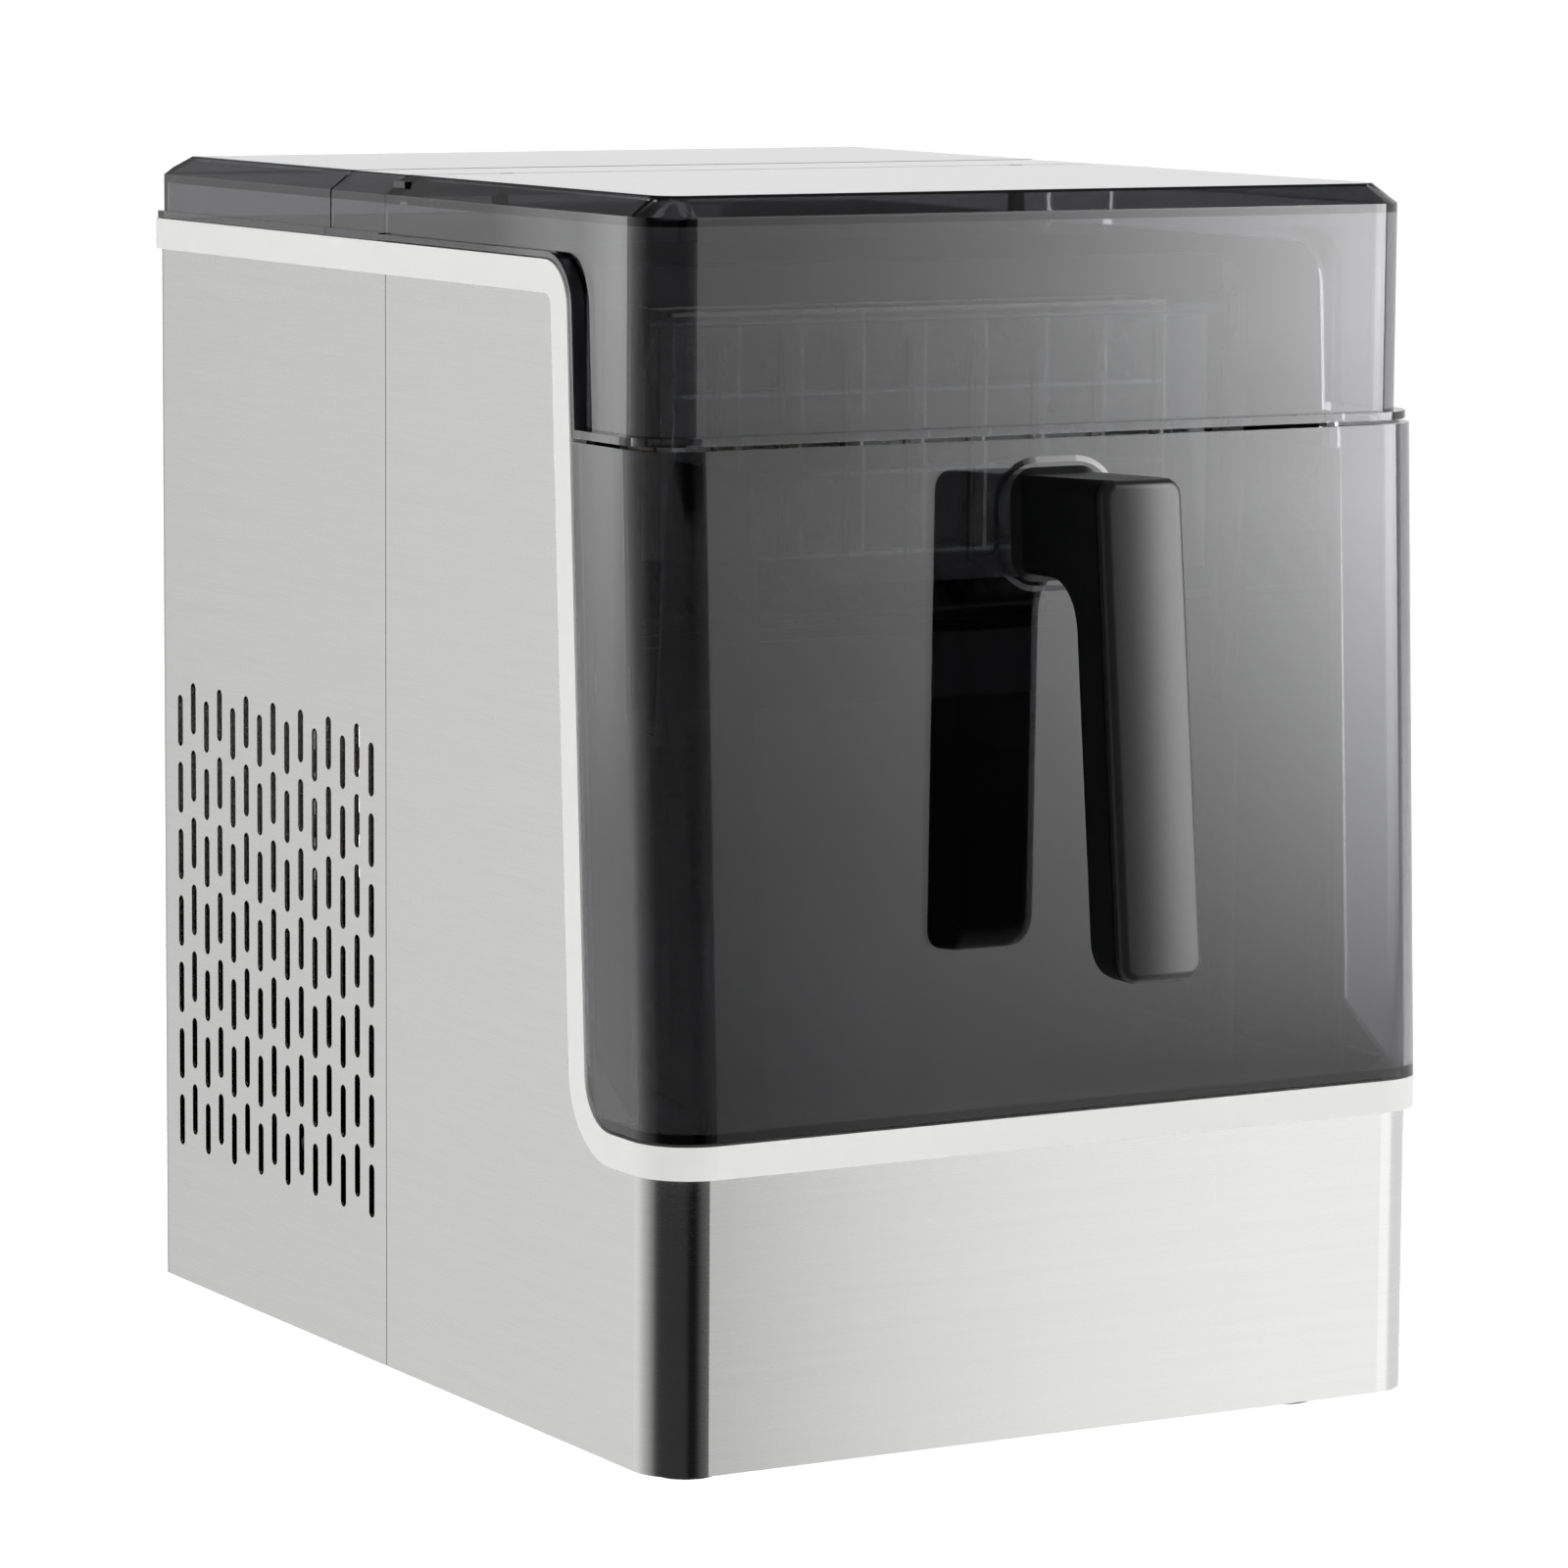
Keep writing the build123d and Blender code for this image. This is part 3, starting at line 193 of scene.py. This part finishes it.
# %% Pale inlays
def printed_sheet(name, colour, fleck, speckle_mm, share):
    material, tree, shader = new_material(name, Roughness=0.45, Coat_Weight=1.0, Coat_Roughness=0.05,
                                          Coat_IOR=1.49)
    dots = grain(tree, 1 / (speckle_mm * mm), 1.0)
    seen = ramp(tree, dots.outputs["Fac"], share, share + 0.08, 0.0, 1.0)
    tree.links.new(mixed(tree, seen.outputs[0], colour, fleck), shader.inputs["Base Color"])
    return material


speckled = printed_sheet("PMMA sheet, back-printed with a silver speckle", "#e4e4e4", "#c2c2c4", 0.7, 0.55)
panel_sheet = printed_sheet("PMMA sheet, back-printed plain grey", "#d2d2d4", "#cdcdd0", 1.5, 0.5)

# %% [markdown]
# ## Metals inside
# The copper lines are drawn tube, dulled by brazing heat. The ice cells are copper plated with
# nickel, the fins are bare aluminium strip, and the screws are zinc plated. Each has its own tone
# and its own scale of stain.

# %% Metals inside
def bare_metal(name, colour, stain, rough, stain_mm):
    material, tree, shader = new_material(name, Metallic=1.0, Roughness=rough)
    cloud = grain(tree, 1 / (stain_mm * mm), 4.0)
    tree.links.new(mixed(tree, ramp(tree, cloud.outputs["Fac"], 0.4, 0.65, 0, 1).outputs[0], colour, stain),
                   shader.inputs["Base Color"])
    tree.links.new(spread(tree, cloud.outputs["Fac"], rough - 0.06, rough + 0.1).outputs[0],
                   shader.inputs["Roughness"])
    return material


copper = bare_metal("Copper, drawn tube", "#d98a63", "#a8583b", 0.3, 14)
nickel = bare_metal("Nickel plate on copper", "#d3cdc2", "#c2bbb0", 0.25, 20)
fin_stock = bare_metal("Aluminium strip, mill finish", "#dadbdc", "#c5c6c8", 0.38, 10)
zinc = bare_metal("Zinc-plated steel, clear passivated", "#cfd2d6", "#b9bfc9", 0.28, 6)

# %% [markdown]
# ## Galvanised sheet
# Hot-dip zinc freezes into flat crystals, called spangle, a few millimetres across, each with its
# own grey. A Voronoi pattern gives every crystal one colour.

# %% Galvanised sheet
def galvanised(name, light, dark, spangle_mm):
    material, tree, shader = new_material(name, Metallic=1.0, Roughness=0.42)
    place = add(tree, "TexCoord")
    crystals = add(tree, "TexVoronoi", {"Vector": place.outputs["Object"]}, {"Scale": 1 / (spangle_mm * mm)})
    grey = add(tree, "SeparateColor", {"Color": crystals.outputs["Color"]})
    tree.links.new(mixed(tree, grey.outputs[0], dark, light), shader.inputs["Base Color"])
    tree.links.new(ramp(tree, grey.outputs[1], 0, 1, 0.34, 0.5).outputs[0], shader.inputs["Roughness"])
    return material


spangle = galvanised("Hot-dip galvanised sheet steel", "#c4c8cb", "#a2a7ab", 7)

# %% [markdown]
# ## Painted cases and the circuit board
# The compressor's shell is drawn steel in black stove enamel, which pulls into a slight orange peel.
# The motor's can is the same in grey. The board is glass-epoxy under a green solder mask.

# %% Painted cases and the circuit board
shell_enamel = moulded("Black stove enamel, sprayed", "#0f0f10", "#161617", 0.22, 2.2, 0.03)
grey_enamel = moulded("Grey stove enamel, sprayed", "#5b5e62", "#64676b", 0.3, 2.2, 0.03)
solder_mask = moulded("Green solder mask on glass-epoxy", "#1c5a34", "#236b3f", 0.25, 1.6, 0.05)

# %% [markdown]
# ## A finish for every piece of the frame
# Each finish is listed with the pieces that have it. The frame's meshes stay as they are, and only
# their material slots change.

# %% A finish for every piece of the frame
finishes = {
    steel: "front_wrap_panel left_side_panel right_side_panel back_panel",
    white_abs: "trim_band electronics_tray",
    # Painted shade: the inside pieces are black so the unlit inside stays dark.
    inside_painted_shade: "cavity_liner upper_deck evaporator_housing water_distributor water_trough ice_slide",
    smoke: "lid_shell lid_rim_frame rear_top_cover hinge_cover bin_fascia bin_ice_box",
    speckled: "lid_inlay hinge_cover_inlay",
    panel_sheet: "touch_panel",
    black_abs: "handle_body hinge_ears fan_shroud fan_blade cord_gland float_guide circulation_pump",
    grip_skin: "handle_grip_cap",
    rubber: "rubber_feet compressor_mounts drain_cap",
    spangle: "base_pan",
    nickel: "evaporator_plate evaporator_grid",
    copper: "evaporator_tube liquid_line capillary_tube suction_line discharge_line filter_dryer "
            "condenser_coil",
    foam: "insulated_partition",
    zinc: "hinge_pins handle_screws panel_screws",
    clear: "water_curtain water_reservoir",
    silicone: "pump_hose return_tube drain_hose",
    natural_pp: "drain_spout water_level_float",
    shell_enamel: "compressor",
    fin_stock: "condenser_fins",
    grey_enamel: "fan_motor",
    coil_cast: "hot_gas_valve",
    solder_mask: "control_board",
}
for finish, names in finishes.items():
    for name in names.split():
        nodes[name].data.materials.clear()
        nodes[name].data.materials.append(finish)
unfinished = set(nodes) - set(" ".join(finishes.values()).split())
print("pieces with no finish:", sorted(unfinished))

# %% [markdown]
# ## The studio
# A product like this is shot in a white room, with a black flag in front that gives the rounded
# corners their dark edge. What the room shows from the object depends on the azimuth, measured from
# the front towards the right, and on the height above the horizon. One ramp holds the levels round
# the room, and the ceiling is dark, so that the chamfers of the top stay dark. The camera itself
# sees plain white wherever it looks past the floor.

# %% The room's light
def room_light(name, stops, low, high, ceiling):
    """stops: (azimuth, level). From low to high, in degrees, the levels fall to ceiling times."""
    world = bpy.data.worlds.new(name)
    bpy.context.scene.world = world
    world.use_nodes = True
    tree = world.node_tree
    place = add(tree, "TexCoord")
    axes = add(tree, "SeparateXYZ", {0: place.outputs["Generated"]})
    front = add(tree, "Math", {0: axes.outputs["Y"]}, {1: -1.0}, operation="MULTIPLY")
    turn = add(tree, "Math", {0: axes.outputs["X"], 1: front.outputs[0]}, operation="ARCTAN2")
    around = ramp(tree, turn.outputs[0], -math.pi, math.pi, 0.0, 1.0)
    levels = add(tree, "ValToRGB", {"Fac": around.outputs[0]})
    elements = levels.color_ramp.elements
    for turned, _ in stops[1:-1]:
        elements.new((turned + 180) / 360)
    brightest = 2.0
    for element, (turned, level) in zip(elements, stops):
        element.position = (turned + 180) / 360
        element.color = (level / brightest, level / brightest, level / brightest, 1)
    rise = add(tree, "Math", {0: axes.outputs["Z"]}, operation="ARCSINE")
    dim = ramp(tree, rise.outputs[0], math.radians(low), math.radians(high), brightest, brightest * ceiling)
    level = add(tree, "Math", {0: levels.outputs["Color"], 1: dim.outputs[0]}, operation="MULTIPLY")
    path = add(tree, "LightPath")
    shown = add(tree, "Mix", {0: path.outputs["Is Camera Ray"], 2: level.outputs[0]}, {3: 1.0},
                data_type="FLOAT")
    tree.links.new(shown.outputs[0], tree.nodes["Background"].inputs["Strength"])
    tree.nodes["Background"].inputs["Color"].default_value = (1, 1, 1, 1)


back_and_left = [(-180, 0.50), (-156, 0.74), (-149, 1.08), (-140, 1.0), (-130, 0.84), (-115, 0.58),
                 (-98, 0.32)]
flag = [(-88, 0.10), (-82, 0.045), (-22, 0.045), (-14, 0.008), (0, 0.008), (12, 0.09), (27, 0.16),
        (29.2, 0.40)]
front_and_right = [(30.4, 0.85), (34, 1.0), (60, 1.05), (90, 1.0), (140, 0.85), (165, 0.80), (180, 0.50)]
room_light("white room", back_and_left + flag + front_and_right, low=14, high=30, ceiling=0.12)

# %% [markdown]
# ## Floor and lamps
# The floor is pale and matt, and a lamp that shines on nothing else keeps it white to the horizon.
# The machine casts no shadow from that lamp. The floor is left out of mirror reflections, as a table
# with a near edge would be. Broad lamps from above, the front and the left fill in the matt surfaces.

# %% Floor and lamps
def sheet(name, corner, along, up, material):
    """A flat rectangle: corner + u * along + v * up, for u and v from 0 to 1."""
    corner, along, up = (np.array(v, float) for v in (corner, along, up))
    grid = np.array([(0, 0), (1, 0), (1, 1), (0, 1)])
    points = corner + grid[:, :1] * along + grid[:, 1:] * up
    mesh = bpy.data.meshes.new(name)
    mesh.from_pydata(points.tolist(), [], [(0, 1, 2, 3)])
    piece = bpy.data.objects.new(name, mesh)
    bpy.context.scene.collection.objects.link(piece)
    mesh.materials.append(material)
    return piece


def group(name, pieces):
    """A collection that only says which objects a light shines on, or which ones block it."""
    listed = bpy.data.collections.new(name)
    for piece in pieces:
        listed.objects.link(piece)
    return listed


def lamp(kind, name, place, aim, energy, size):
    """Points a lamp at aim. size is an area lamp's side in metres, or the sun's width in degrees."""
    light = bpy.data.lights.new(name, kind)
    light.energy = energy
    if kind == "AREA":
        light.size = size
    else:
        light.angle = math.radians(size)
    piece = bpy.data.objects.new(name, light)
    piece.location = place
    piece.rotation_euler = (Vector(aim) - Vector(place)).to_track_quat("-Z", "Y").to_euler()
    piece.visible_glossy = False
    piece.visible_camera = False
    bpy.context.scene.collection.objects.link(piece)
    return piece


floor_paint = moulded("Matt white floor paint", "#f7f7f7", "#f4f4f4", 0.9, 4.0, 0.01)
floor = sheet("floor", (-30, -30, 0), (60, 0, 0), (0, 60, 0), floor_paint)
floor.visible_glossy = False
floor_lamp = lamp("SUN", "floor lamp", (0, 0, 3), (0, 0, 0), energy=3.7, size=20)
floor_lamp.light_linking.receiver_collection = group("floor only", [floor])
floor_lamp.light_linking.blocker_collection = group("no shadows", [floor])

lamp("AREA", "top light", (-0.3, -0.3, 2.0), (-0.3, -0.3, 0), energy=15, size=2.2)
lamp("AREA", "front fill", (0.9, -2.4, 1.0), (0, 0, 0.2), energy=7, size=1.2)
lamp("AREA", "left fill", (-2.5, 0.8, 1.0), (0, 0, 0.2), energy=5, size=1.2)

# %% [markdown]
# ## Glowing sheets
# Three glowing sheets are see-through, so they hide nothing, and each lights only the pieces it is
# linked to. The smoked plastic and the handle mirror a tall softbox at the front right, brighter
# towards its outer side and its top. The smoked plastic also mirrors a narrow strip behind the left
# side, and the steel sheets mirror a glow off the table.

# %% Glowing sheets
def glowing(name, axis, first, others, fade, power=1.0):
    """first ** power and the others, all ramps along axis, add up, and fade is a ramp along Z."""
    material = bpy.data.materials.new(name)
    material.use_nodes = True
    tree = material.node_tree
    place = add(tree, "TexCoord")
    axes = add(tree, "SeparateXYZ", {0: place.outputs["Object"]})
    rising = ramp(tree, axes.outputs[axis], *first)
    level = add(tree, "Math", {0: rising.outputs[0]}, {1: power}, operation="POWER")
    for step in others:
        more = ramp(tree, axes.outputs[axis], *step)
        level = add(tree, "Math", {0: level.outputs[0], 1: more.outputs[0]}, operation="ADD")
    dim = ramp(tree, axes.outputs["Z"], *fade)
    level = add(tree, "Math", {0: level.outputs[0], 1: dim.outputs[0]}, operation="MULTIPLY")
    glow = add(tree, "Emission", {"Strength": level.outputs[0]})
    both = add(tree, "AddShader", {0: glow.outputs[0], 1: add(tree, "BsdfTransparent").outputs[0]})
    tree.links.new(both.outputs[0], tree.nodes["Material Output"].inputs["Surface"])
    return material


def glow_sheet(name, corner, along, up, material, seen_by):
    """A sheet of light that only the nodes named in seen_by mirror."""
    piece = sheet(name, corner, along, up, material)
    receivers = [nodes[seen] for seen in seen_by.split()]
    piece.light_linking.receiver_collection = group(name + " on", receivers)
    piece.visible_camera = False
    piece.visible_diffuse = False


softbox_cloth = glowing("Softbox cloth, lit from behind", "X", (0.50, 0.86, 0, 2.25),
                        [(0.485, 0.505, 0, 0.75)], fade=(0.0, 0.29, 0.04, 1.0), power=2.5)
strip_cloth = glowing("Strip light cloth", "Y", (1.42, 1.45, 0, 1.7),
                      [(1.46, 1.50, 0, -0.9), (1.54, 1.62, 0, -0.7)], fade=(-0.05, 0.27, 0.05, 1.0))
table_light = glowing("Light off the table", "X", (0.49, 0.56, 0, 0.42),
                      [(0.56, 0.9, 0, 0.05)], fade=(0.4, 0.5, 1.0, 0.0))
glow_sheet("softbox", (0.35, -1.35, -0.5), (1.3, 0.5, 0), (0, 0, 2.1), softbox_cloth,
           finishes[smoke] + " handle_body handle_grip_cap")
glow_sheet("strip light", (-1.0, 1.42, -0.6), (0, 1.2, 0), (0, 0, 2.0), strip_cloth, finishes[smoke])
glow_sheet("table glow", (0.35, -1.36, -0.9), (1.3, 0.5, 0), (0, 0, 1.4), table_light, finishes[steel])

# %% [markdown]
# ## The camera
# The camera stands low and far off, to the left of the front, with a long lens, so upright edges stay
# nearly parallel. Its aim is on the middle of the steel cabinet. Its place is worked out from the
# two angles and the distance, and it has a slight tilt about its own axis.

# %% The camera
azimuth, pitch, roll = (math.radians(a) for a in (29.74, 7.50, 0.36))
distance, aim_height = 2.3142, 0.1985
front_low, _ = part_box("front_wrap_panel")
_, rear_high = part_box("back_panel")
aim = np.array((0, (front_low.y + rear_high.y) / 2, aim_height))
level_out = np.array((-math.sin(azimuth), -math.cos(azimuth), 0))
outward = math.cos(pitch) * level_out + math.sin(pitch) * np.array((0, 0, 1))
level_right = np.array((math.cos(azimuth), -math.sin(azimuth), 0))
level_up = np.cross(outward, level_right)
right = math.cos(roll) * level_right + math.sin(roll) * level_up
up = np.cross(outward, right)

lens = bpy.data.cameras.new("camera")
lens.sensor_width, lens.lens, lens.shift_x = 36.0, 154.1, 0.0094
camera = bpy.data.objects.new("camera", lens)
bpy.context.scene.collection.objects.link(camera)
pose = np.eye(4)
pose[:3, 0], pose[:3, 1], pose[:3, 2], pose[:3, 3] = right, up, outward, aim + distance * outward
camera.matrix_world = Matrix(pose.tolist())
bpy.context.scene.camera = camera
bpy.context.scene.view_settings.view_transform = "Standard"
print("camera at", [round(v, 3) for v in pose[:3, 3]])
